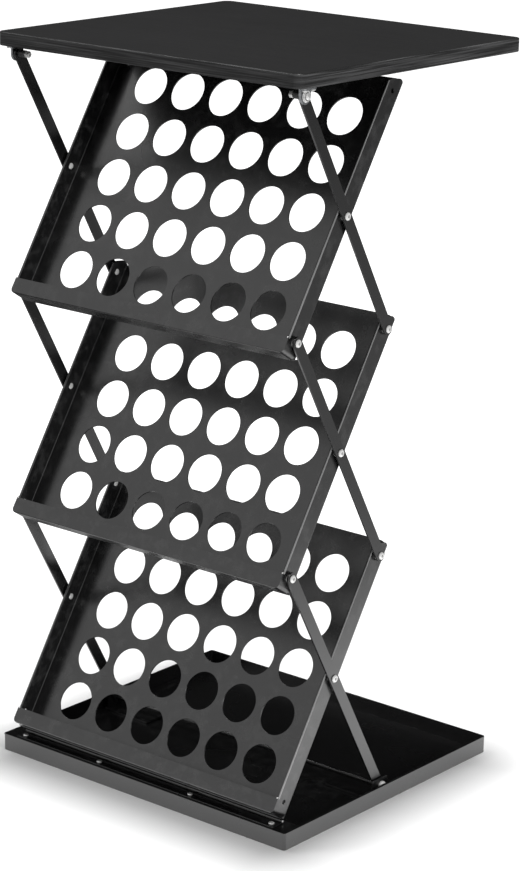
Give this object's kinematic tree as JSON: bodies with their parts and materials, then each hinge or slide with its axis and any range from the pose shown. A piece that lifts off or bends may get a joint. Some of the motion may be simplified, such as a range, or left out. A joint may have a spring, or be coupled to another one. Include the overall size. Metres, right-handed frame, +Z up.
{
  "type": "periodical display rack",
  "caption": "Folding scissor-frame display rack with a flat tabletop, sloping perforated steel trays for magazines, side links and a shallow base pan.",
  "frame": {"origin": "centre of the base pan's underside on the floor", "axes": "+X to the right seen from the front, +Y to the rear, +Z up; the trays open towards -Y"},
  "size_m": [0.478, 0.436, 0.9427],
  "materials": {
    "black_coat": "satin black powder coat",
    "rivet_steel": "bright domed rivet heads",
    "plated_fastener": "zinc plated",
    "rod_cap": "bright plated",
    "nylon_sleeve": "matte",
    "zinc_bracket": "zinc plated sheet",
    "board_laminate": "dark laminate faced board",
    "edge_band": "streaked semi-gloss edge banding"
  },
  "bodies": {
    "base": {"base_pan": "black_coat", "base_hinge_leaf": "black_coat", "hinge_pin": "plated_fastener", "hinge_screw_inner_left": "plated_fastener", "hinge_screw_inner_right": "plated_fastener", "hinge_screw_outer_left": "plated_fastener", "hinge_screw_outer_right": "plated_fastener", "foot_catch_left": "black_coat", "foot_catch_right": "black_coat", "foot_catch_screw_inner_left": "plated_fastener", "foot_catch_screw_inner_right": "plated_fastener", "foot_catch_screw_outer_left": "plated_fastener", "foot_catch_screw_outer_right": "plated_fastener"},
    "lower_tray": {"lower_tray": "black_coat", "tray_hinge_leaf": "black_coat", "lower_tray_rivet_mid_left": "rivet_steel", "lower_tray_rivet_mid_right": "rivet_steel", "lower_tray_rivet_top_left": "rivet_steel", "lower_tray_rivet_top_right": "rivet_steel"},
    "lower_links": {"lower_link_left": "black_coat", "lower_link_right": "black_coat", "foot_rod": "black_coat", "foot_rod_cap_left": "rod_cap", "foot_rod_cap_right": "rod_cap"},
    "middle_tray": {"middle_tray": "black_coat", "middle_tray_rivet_bottom_left": "rivet_steel", "middle_tray_rivet_bottom_right": "rivet_steel", "middle_tray_rivet_mid_left": "rivet_steel", "middle_tray_rivet_mid_right": "rivet_steel", "middle_tray_rivet_top_left": "rivet_steel", "middle_tray_rivet_top_right": "rivet_steel"},
    "middle_links": {"middle_link_left": "black_coat", "middle_link_right": "black_coat"},
    "upper_tray": {"upper_tray": "black_coat", "upper_tray_rivet_bottom_left": "rivet_steel", "upper_tray_rivet_bottom_right": "rivet_steel", "upper_tray_rivet_mid_left": "rivet_steel", "upper_tray_rivet_mid_right": "rivet_steel"},
    "upper_links": {"upper_link_left": "black_coat", "upper_link_right": "black_coat"},
    "tabletop": {"tabletop_board": "board_laminate", "tabletop_edge_band": "edge_band", "top_bracket_left": "zinc_bracket", "top_bracket_right": "zinc_bracket", "top_bracket_screw_front_left": "plated_fastener", "top_bracket_screw_front_right": "plated_fastener", "top_bracket_screw_rear_left": "plated_fastener", "top_bracket_screw_rear_right": "plated_fastener", "top_pivot_bolt_left": "plated_fastener", "top_pivot_bolt_right": "plated_fastener", "top_pivot_washer_left": "plated_fastener", "top_pivot_washer_right": "plated_fastener", "top_pivot_sleeve_left": "nylon_sleeve", "top_pivot_sleeve_right": "nylon_sleeve", "top_pivot_nut_left": "plated_fastener", "top_pivot_nut_right": "plated_fastener"}
  },
  "joints": [
    {"name": "fold", "type": "hinge", "parent": "base", "child": "lower_tray", "pos_m": [0, -0.1877, 0.0252], "axis": [-1, 0, 0], "range_deg": [0, 53]},
    {"name": "lower_links_pivot", "type": "hinge", "parent": "lower_tray", "child": "lower_links", "pos_m": [0, -0.10295, 0.18898], "axis": [1, 0, 0], "range_deg": [0, 106]},
    {"name": "middle_tray_pivot", "type": "hinge", "parent": "lower_links", "child": "middle_tray", "pos_m": [0, -0.18975, 0.33979], "axis": [-1, 0, 0], "range_deg": [0, 106]},
    {"name": "middle_links_pivot", "type": "hinge", "parent": "middle_tray", "child": "middle_links", "pos_m": [0, -0.10295, 0.47657], "axis": [1, 0, 0], "range_deg": [0, 106]},
    {"name": "upper_tray_pivot", "type": "hinge", "parent": "middle_links", "child": "upper_tray", "pos_m": [0, -0.18975, 0.62737], "axis": [-1, 0, 0], "range_deg": [0, 106]},
    {"name": "upper_links_pivot", "type": "hinge", "parent": "upper_tray", "child": "upper_links", "pos_m": [0, -0.10295, 0.76415], "axis": [1, 0, 0], "range_deg": [0, 106]},
    {"name": "tabletop_pivot", "type": "hinge", "parent": "upper_links", "child": "tabletop", "pos_m": [0, -0.18975, 0.91495], "axis": [-1, 0, 0], "range_deg": [0, 53]}
  ],
  "couplings": [
    {"joint": "lower_links_pivot", "follows": "fold", "ratio": 2},
    {"joint": "middle_tray_pivot", "follows": "fold", "ratio": 2},
    {"joint": "middle_links_pivot", "follows": "fold", "ratio": 2},
    {"joint": "upper_tray_pivot", "follows": "fold", "ratio": 2},
    {"joint": "upper_links_pivot", "follows": "fold", "ratio": 2},
    {"joint": "tabletop_pivot", "follows": "fold", "ratio": 1}
  ]
}
